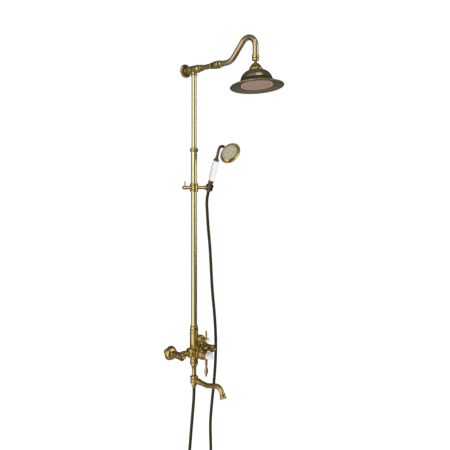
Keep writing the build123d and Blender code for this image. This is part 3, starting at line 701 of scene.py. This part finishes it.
class AddRainHead(PieceOperator, bpy.types.Operator):
    """Adds the rain head's cap, bell and brim; the spray plate keeps its drilled holes"""
    bl_idname = "shower_column.add_rain_head"
    bl_label = "Rain head"

    def build(self):
        stand_for("head_cap", aged_brass, [turned([
            (7.9, 10.6), (8.8, 10.6), (17.0, 1.2, 0.6), (22.0, -8.0, 0.6), (23.8, -10.6), (23.8, -13.2),
            (8.0, -13.2), (8.0, -8.6), (9.3, -8.6), (9.3, 3.6), (6.3, 4.6)], HEAD, 96)])
        # Painted shade inside the bell: within radius 56.9 the faces that look down are coloured dark.
        stand_for("head_bell", head_bronze, [turned([
            (21.0, -13.5), (24.8, -13.5), (26.2, -14.6, 0.4), (55.0, -49.0, 6.8), (57.6, -51.2, -0.4),
            (89.5, -67.6, -1.2), (91.5, -69.2), (91.5, -70.4), (90.9, -71.0, 0.1), (88.5, -71.0),
            (88.5, -68.8), (57.0, -53.2, 1.2), (53.6, -49.6, 0.4), (25.2, -16.0, -6.6),
            (21.0, -16.0)], HEAD, 160, 0.7, painted_shade_hollow=(56.9, -1))])
        stand_for("head_face_ring", head_bronze, [turned([
            (52.0, -62.6), (88.3, -69.0, 0.8), (88.3, -71.0), (86.5, -71.0), (55.6, -64.0, -0.8),
            (54.3, -64.8), (54.3, -64.0), (52.0, -64.0)], HEAD, 160, 0.7)])
        coat(head_plate, "head_face_plate")


class AddRiser(PieceOperator, bpy.types.Operator):
    """Adds the telescoping riser tubes, their collar and the union nut at the mixer"""
    bl_idname = "shower_column.add_riser"
    bl_label = "Riser"

    def build(self):
        for node, radius, bore in (("upper_riser", 9.5, 8.3), ("lower_riser", 11.5, 9.9)):
            low, high = (corner[2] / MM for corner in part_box(node))
            stand_for(node, tube_brass, [turned(
                [(bore, low), (radius, low), (radius, high), (bore, high)], on_column(), 96, 6.0)])

        def lugs(angle, height, radius):
            """Four pads: a cosine to a high power round the collar, faded out at its ends and bore."""
            across = np.clip(np.cos(2 * (angle - math.pi / 4)) ** 2 * 1.25 - 0.75, 0, 0.35) / 0.35
            upright = np.clip((6.2 - np.abs(height + 1)) / 1.4, 0, 1)
            return 2.0 * across * upright * (radius > 12.9)
        stand_for("telescope_collar", aged_brass, [turned([
            (11.6, -8), (13.0, -8), (13.6, -6.8), (13.6, 6.4), (12.6, 8), (9.8, 8), (9.8, 0.4),
            (11.6, 0.4)], on_column(COLLAR_HEIGHT), 160, 0.4, lugs)])
        stand_for("riser_union_nut", aged_brass, [turned([
            (11.6, 76.6), (15.2, 76.6), (16.0, 77.6), (16.0, 82), (15.0, 83), (15.0, 86), (14.2, 95, -0.2),
            (13.2, 96), (13.2, 100), (11.6, 100)], on_column())])
        coat(zinc_steel, "collar_screws")
        coat(black_rubber, "riser_seal")


class AddMixer(PieceOperator, bpy.types.Operator):
    """Adds the mixer body, its cartridge nut, handle, porcelain cap and lever"""
    bl_idname = "shower_column.add_mixer"
    bl_label = "Mixer"

    def build(self):
        column = turned([(0, -20.4), (15.0, -20.4), (16.0, -19.4), (16.0, -10), (16.0, 70), (15.0, 71.4),
                         (15.0, 76.4), (0, 76.4)], on_column())
        cross = turned([(0, -30), (13.0, -30), (19.0, -22, -1.6), (19.0, 22), (13.0, 30, -1.6), (0, 30)],
                       sideways(0))
        boss = turned([(0, 50), (20.0, 50), (20.0, 85.6), (19.0, 87), (0, 87)], outwards(0, 0), 96)
        small = turned([(0, 50), (10.4, 50), (10.4, 66), (11.6, 72), (0, 72)], outwards(0, DIVERTER_HEIGHT))
        stubs = [turned([(0, 20), (7.5, 20), (7.5, 51), (9.2, 51), (9.2, 54), (0, 54)], sideways(0, left), 48)
                 for left in (False, True)]
        stand_for("mixer_body", aged_brass, [column, cross, boss, small, *stubs])
        out = outwards(0, 0)
        stand_for("cartridge_nut", dark_bronze, [turned([
            (6.2, 84.2), (17, 84.2), (17, 88), (16.2, 92, -0.6), (12.0, 98.4, -1.2), (6.2, 98.4)], out)])
        stand_for("handle_hub", aged_brass, [turned([
            (0, 107), (12.0, 107), (16.2, 103, 0.6), (17.6, 97), (17.6, 93.4), (18.8, 93.4), (20.4, 96, -0.4),
            (20.4, 100), (19.4, 101), (19.8, 102.4), (18.6, 106, -0.6), (15.4, 114, 1.0), (13.8, 121, 0.5),
            (14.4, 122), (14.4, 125), (0, 125)], out, 96)])
        stand_for("porcelain_cap", porcelain, [turned([
            (0, 125.2), (12.6, 125.2), (13.0, 127), (13.0, 138), (9.0, 145.4, -1.6), (0, 147.4, -0.5)],
            out, 96)])
        stand_for("mixer_lever", aged_brass, [turned([
            (0, -14.5), (4.4, -14.5), (4.4, -18), (6.0, -19), (6.0, -21.4), (4.8, -22.4), (4.8, -29),
            (5.9, -30), (5.9, -32.6), (4.2, -33.8), (3.9, -40, -0.1), (7.0, -58, 0.7), (5.2, -67.4, 0.5),
            (3.2, -71.4, -0.3), (3.7, -75, 0.5), (0, -78.6, 1.1)], place(0, -LEVER_OUT, 0), 64, 0.35)])
        coat(white_nylon, "cartridge", "diverter_cartridge")
        coat(zinc_steel, "mixer_spindle")


class AddDiverter(PieceOperator, bpy.types.Operator):
    """Adds the diverter's bonnet, hub, finial lever and porcelain button"""
    bl_idname = "shower_column.add_diverter"
    bl_label = "Diverter"

    def build(self):
        out = outwards(0, DIVERTER_HEIGHT)
        stand_for("diverter_bonnet", aged_brass, [turned([
            (9.1, 72.2), (13.4, 72.2), (13.4, 75.4), (11.8, 76.4), (11.8, 79), (14.4, 81.4),
            (14.8, 88, -0.4), (14.0, 94, -0.3), (12.4, 95.6), (12.4, 98), (9.6, 100.2, -0.5),
            (4.36, 100.2), (4.36, 95.6), (9.1, 95.6)], out)])
        stand_for("diverter_hub", aged_brass, [turned([
            (0, 92.2), (4.3, 92.2), (4.3, 102.6), (8.0, 102.6), (9.0, 104), (9.0, 106.4), (7.6, 107.4),
            (7.6, 108.4), (10.4, 113, -0.6), (10.4, 122), (8.8, 125.6, -0.5), (0, 125.6)], out)])
        stand_for("diverter_lever", aged_brass, [turned([
            (0, 9.2), (3.6, 9.2), (3.6, 12.6), (2.8, 13.4), (2.8, 15), (4.4, 20, -0.4), (4.0, 24, -0.3),
            (2.4, 26.6), (2.4, 27.6), (3.4, 28.4), (2.6, 29.6), (3.7, 33, -0.6), (0, 36.6, -1.1)],
            place(0, -LEVER_OUT, DIVERTER_HEIGHT), 56, 0.3)])
        stand_for("diverter_button", porcelain, [turned([
            (0, 125.8), (7.6, 125.8), (7.6, 129.4), (4.6, 133, -0.8), (0, 133.8, -0.2)], out, 64)])


class AddInlets(PieceOperator, bpy.types.Operator):
    """Adds both water inlets: wall flanges, elbows, union nuts and finials"""
    bl_idname = "shower_column.add_inlets"
    bl_label = "Inlets"

    def build(self):
        flanges, unions, finials = [], [], []
        for side, hand in ((-1, "left"), (1, "right")):
            out = outwards(side * INLET_X, 0)
            across = sideways(0, left=side < 0)
            flanges.append(turned([
                (25.0, 0), (26.6, 0), (26.6, 3.4), (25.4, 4.6, -0.3), (24.6, 6.0), (23.8, 9.0, -0.3),
                (15.2, 18.6, -2.4), (13.2, 19.2), (12.6, 19.2), (12.6, 17.8), (14.6, 17.2),
                (22.4, 8.6, 2.3), (23.4, 5.0), (25.0, 3.2)], out, 96))
            elbow = turned([
                (0, 10), (12.0, 10), (12.0, 22), (11.0, 23), (11.0, 33), (13.2, 40, 0.4), (13.2, 42),
                (12.8, 42.5), (13.2, 43), (13.2, 58), (12.2, 61, 0.2), (15.4, 68.6, 1.0), (15.4, 71),
                (0, 71)], out)
            outlet = turned([(0, 57), (9.3, 57), (9.3, 62), (11.0, 63.4), (11.0, 75), (0, 75)], across)
            stand_for(f"inlet_elbow_{hand}", aged_brass, [elbow, outlet])
            unions.append(turned([
                (7.6, 43), (10.6, 43), (12.2, 44.6), (12.2, 47), (11.4, 48), (11.4, 50), (12.4, 51),
                (12.4, 59.6), (11.4, 61), (9.4, 61), (9.4, 50.9), (7.6, 50.9)], across))
            finials.append(turned([
                (0, 61), (5.0, 61), (5.0, 71.2), (8.6, 71.2), (8.6, 73.4), (5.0, 75.4, 0.5), (4.2, 77),
                (5.8, 78), (4.6, 79.4), (5.9, 83.6, -0.8), (0, 88.6, -1.6)], out, 56, 0.3))
        stand_for("inlet_flanges", aged_brass, flanges)
        stand_for("inlet_unions", aged_brass, unions)
        stand_for("inlet_finials", aged_brass, finials)
        coat(aged_brass, "inlet_tails")
        coat(black_rubber, "inlet_washers")


class AddLowerColumn(PieceOperator, bpy.types.Operator):
    """Adds the collar and baluster under the mixer, the spout's core and the hose's lower nut"""
    bl_idname = "shower_column.add_lower_column"
    bl_label = "Lower column"

    def build(self):
        axis = on_column()
        stand_for("lower_collar", aged_brass, [turned([
            (7.7, -44.6), (14.4, -44.6), (15.8, -43.2), (15.8, -39.6), (14.8, -38.6), (14.8, -26),
            (15.8, -25), (15.8, -20.7), (7.7, -20.7)], axis)])
        stand_for("baluster", aged_brass, [turned([
            (5.6, -91.6), (10.8, -91.6), (10.8, -89.4), (9.0, -87.4, 0.5), (8.5, -70, 0.1),
            (9.2, -58, 0.2), (13.2, -50.4, 0.8), (13.2, -47.4), (12.0, -46.4), (12.0, -44.8),
            (7.6, -44.8), (7.6, -12), (5.6, -12)], axis)])
        stand_for("hose_lower_nut", aged_brass, [turned([
            (9.1, -119), (9.7, -119), (9.9, -120), (9.9, -124), (9.2, -125), (8.6, -131), (4.2, -131),
            (4.2, -127.4), (9.1, -127.4)], axis)])
        coat(aged_brass, "spout_core")
        coat(black_rubber, "spout_o_rings")


class AddSpout(PieceOperator, bpy.types.Operator):
    """Adds the swivelling bath spout: hub, bent tube and nozzle"""
    bl_idname = "shower_column.add_spout"
    bl_label = "Bath spout"

    def build(self):
        hub = turned([
            (8.06, -117.9), (12.6, -117.9), (14.2, -116.6), (14.2, -113.4), (13.4, -112.4),
            (13.4, -99.6), (14.6, -98.6), (15.4, -95.2, -0.3), (14.6, -92.0), (8.06, -92.0)], on_column())
        neck = turned([(0, 62), (10.4, 62), (10.4, 67), (0, 67)], outwards(0, SPOUT_HEIGHT))
        stand_for("spout_hub", aged_brass, [hub, neck])
        path = rounded([(0, -68, SPOUT_HEIGHT), (0, -122, -110), (0, -190, -95), (0, -202.5, -124.7)],
                       [60.0, 27.0], 1.2)
        along = distance_along(path)
        radius = 9.2 + 2.3 * np.exp(-(np.maximum(along - 3, 0) / 15.0) ** 2)
        stand_for("spout_tube", aged_brass,
                  [carried(path * MM, radius * MM, np.array([1.0, 0, 0]), 72)])
        end, run = path[-1], path[-1] - path[-2]
        lean = math.degrees(math.atan2(-run[1], -run[2]))
        mouth = place(*end, (180 - lean, "X"))
        stand_for("spout_nozzle", aged_brass, [turned([
            (9.3, -5), (10.6, -5), (11.0, -3.6), (10.2, -2.4), (9.9, 0.6), (12.2, 11, 0.4), (12.4, 13),
            (11.0, 13), (10.4, 10, 0.1), (8.6, 6.4), (8.6, 0.2), (9.3, 0.2)], mouth)])
        coat(white_nylon, "aerator_insert")


class AddBracket(PieceOperator, bpy.types.Operator):
    """Adds the sliding bracket, its cross bar, lock knob and the cradle"""
    bl_idname = "shower_column.add_bracket"
    bl_label = "Bracket"

    def build(self):
        right, left = sideways(SLIDER_HEIGHT), sideways(SLIDER_HEIGHT, left=True)
        sleeve = turned([
            (13.1, -16), (14.8, -16), (16.0, -14.6), (16.0, -11), (15.0, -10), (15.0, 10), (16.0, 11),
            (16.0, 14.6), (14.8, 16), (13.1, 16)], on_column(SLIDER_HEIGHT))
        stub = turned([(0, 13.4), (7.6, 13.4), (7.6, 17), (6.4, 19), (6.4, 32), (0, 32)], left)
        seat = turned([(0, 13.4), (8.2, 13.4), (8.2, 18.6), (0, 18.6)], right)
        stand_for("slider_body", aged_brass, [sleeve, stub, seat])
        stand_for("slider_bar", aged_brass, [turned([
            (0, 18.8), (6.6, 18.8), (6.6, 54), (7.6, 55), (7.6, 57.6), (3.5, 57.6), (3.5, 68), (0, 68)],
            right)])
        knob = turned([(0, 32.3), (6.6, 32.3), (6.6, 34.2), (7.2, 35.4), (7.2, 52), (4.0, 54, -0.6),
                       (0, 54)], left)
        thumb = turned([(0, 4), (2.6, 4), (2.6, 12), (3.2, 20.4, -0.1), (0, 23.2, -0.9)],
                       place(-44.4, -COLUMN_OUT, SLIDER_HEIGHT), 48, 0.3)
        stand_for("lock_knob", aged_brass, [knob, thumb])
        coat(white_nylon, "slider_bushing")
        coat(dark_bronze, "cradle")


class AddHandShower(PieceOperator, bpy.types.Operator):
    """Adds the hand shower: hose nut, ferrule, porcelain handle, bent neck and dished head"""
    bl_idname = "shower_column.add_hand_shower"
    bl_label = "Hand shower"

    def build(self):
        stand_for("hose_upper_nut", dark_bronze, [turned([
            (4.2, -18), (6.6, -18), (7.35, -17), (10.05, 9.2), (10.05, 13.4), (9.4, 14), (4.2, 14)],
            HANDSET)])
        stand_for("handset_ferrule", dark_bronze, [turned([
            (4.2, 14.2), (9.0, 14.2), (9.0, 16), (10.6, 19.6, -0.5), (9.0, 23.2, -0.5), (9.0, 24),
            (11.0, 26), (11.0, 28), (4.2, 28)], HANDSET)])
        stand_for("handset_handle", porcelain, [turned([
            (4.2, 28.2), (9.8, 28.2), (10.2, 29.2), (12.2, 78, -1.2), (11.0, 107, -0.6), (10.4, 108),
            (4.2, 108)], HANDSET, 96, 0.8)])
        turn = math.radians(FACE_TURN)
        back = np.array([FACE_OUT - 20.0 * math.cos(turn), FACE_UP + 20.0 * math.sin(turn)])
        corner = (-1.6, back[1] + math.tan(turn) * (back[0] + 1.6))
        path = rounded([(0, 0, 118), (0, -corner[0], corner[1]), (0, -back[0], back[1])], [22.0], 1.0)
        moved = np.array(HANDSET)
        path = (path @ moved[:3, :3].T + moved[:3, 3]) * MM
        rod = carried(path, 5.3 * MM, moved[:3, 0], 56)
        flare = turned([(0, 108.2), (10.8, 108.2), (11.4, 109.4), (11.0, 111), (5.4, 126, 1.4),
                        (5.0, 131), (0, 131)], HANDSET)
        stand_for("handset_neck", dark_bronze, [rod, flare])
        # Painted shade inside the head: within radius 30.9 the faces that look towards the spray face are coloured
        # dark.
        stand_for("handset_head", aged_brass, [turned([
            (0, -23.5), (8.4, -23.5), (9.4, -22), (9.4, -19.6), (8.6, -18.6), (24.0, -13.4, -1.6),
            (39.0, -5.4, -1.4), (42.0, -2.0), (42.0, 0), (40.4, 1.2, -0.4), (38.0, 0.8),
            (30.8, -6.6, 0.9), (30.8, -8.6), (28.0, -8.6), (22.0, -11.4), (8.0, -15.6), (0, -15.6)],
            HANDSET_FACE, 128, painted_shade_hollow=(30.9, 1))])
        coat(spray_plate, "handset_face")


class AddStage(PieceOperator, bpy.types.Operator):
    """Adds the floor, the soft lights, the pale surroundings and the camera"""
    bl_idname = "shower_column.add_stage"
    bl_label = "Stage"

    def build(self):
        floor_mesh = bpy.data.meshes.new("floor")
        corners = [(-1, -1), (1, -1), (1, 1), (-1, 1)]
        floor_mesh.from_pydata([(x * FLOOR_HALF, y * FLOOR_HALF, -settings().floor_drop) for x, y in corners],
                               [], [(0, 1, 2, 3)])
        floor = bpy.data.objects.new("floor", floor_mesh)
        bpy.context.scene.collection.objects.link(floor)
        g = Graph("pale_floor")
        shade = g.mix(g.noise(3, 4) * 0.5, (0.93, 0.93, 0.93, 1), (0.88, 0.88, 0.88, 1))
        floor.data.materials.append(g.finish(Base_Color=shade, Roughness=0.8, Emission_Color=(1, 1, 1, 1),
                                             Emission_Strength=0.9))
        floor.visible_glossy = False
        for softbox in SOFTBOXES:
            self.light(*softbox)
        self.surroundings()
        self.camera()

    def light(self, name, spot, target, size, watts):
        data = bpy.data.lights.new(name, "AREA")
        data.shape = "RECTANGLE"
        data.size, data.size_y = size
        data.energy = watts
        lamp = bpy.data.objects.new(name, data)
        lamp.location = spot
        lamp.rotation_euler = (Vector(target) - Vector(spot)).to_track_quat("-Z", "Y").to_euler()
        bpy.context.scene.collection.objects.link(lamp)

    def surroundings(self):
        """White where the camera looks past the object.  In the reflections, a dark room with one
        light side, a grey ceiling and a paler floor: a cosine to the fourth power for the side."""
        world = bpy.data.worlds.new("studio")
        bpy.context.scene.world = world
        g = Graph("studio", world)
        direction = g.add("ShaderNodeTexCoord", output="Generated")
        lit, high = (g.add("ShaderNodeVectorMath", {"operation": "DOT_PRODUCT"}, {0: direction, 1: side}, 1)
                     for side in (WARM_SIDE, (0, 0, 1)))
        room = lit.held() ** 4 * 1.5 + high.held() * 0.14 + (0.0 - high).held() * 0.32 + 0.02
        seen = g.add("ShaderNodeLightPath", output="Is Camera Ray")
        g.join(g.shader, {"Color": (1, 1, 1, 1), "Strength": seen * 1.05 + (1.0 - seen) * room})

    def camera(self):
        data = bpy.data.cameras.new("camera")
        data.lens = settings().lens
        data.sensor_width = 36
        camera = bpy.data.objects.new("camera", data)
        camera.location = CAMERA_SPOT
        camera.rotation_euler = (math.radians(90), 0, math.radians(CAMERA_TURN))
        data.shift_y = CAMERA_SHIFT
        bpy.context.scene.collection.objects.link(camera)
        bpy.context.scene.camera = camera


class ShowerColumnPanel(bpy.types.Panel):
    """Lists every piece of the shower column"""
    bl_idname = "VIEW3D_PT_shower_column"
    bl_label = "Shower column"
    bl_space_type = "VIEW_3D"
    bl_region_type = "UI"
    bl_category = "Shower column"

    def draw(self, context):
        for name in ShowerColumnSettings.__annotations__:
            self.layout.prop(context.scene.shower_column, name)
        for operator in OPERATORS:
            self.layout.operator(operator.bl_idname)


OPERATORS = (AddHose, AddTopFixing, AddArm, AddRainHead, AddRiser, AddMixer, AddDiverter, AddInlets,
             AddLowerColumn, AddSpout, AddBracket, AddHandShower, AddStage)
CLASSES = (ShowerColumnSettings, *OPERATORS, ShowerColumnPanel)


def register():
    for each in CLASSES:
        bpy.utils.register_class(each)
    bpy.types.Scene.shower_column = bpy.props.PointerProperty(type=ShowerColumnSettings)


def unregister():
    del bpy.types.Scene.shower_column
    for each in reversed(CLASSES):
        bpy.utils.unregister_class(each)


def main():
    register()
    bpy.context.scene.view_settings.view_transform = "Standard"
    for operator in OPERATORS:
        group, _, action = operator.bl_idname.partition(".")
        getattr(getattr(bpy.ops, group), action)()


if __name__ == "__main__":
    main()
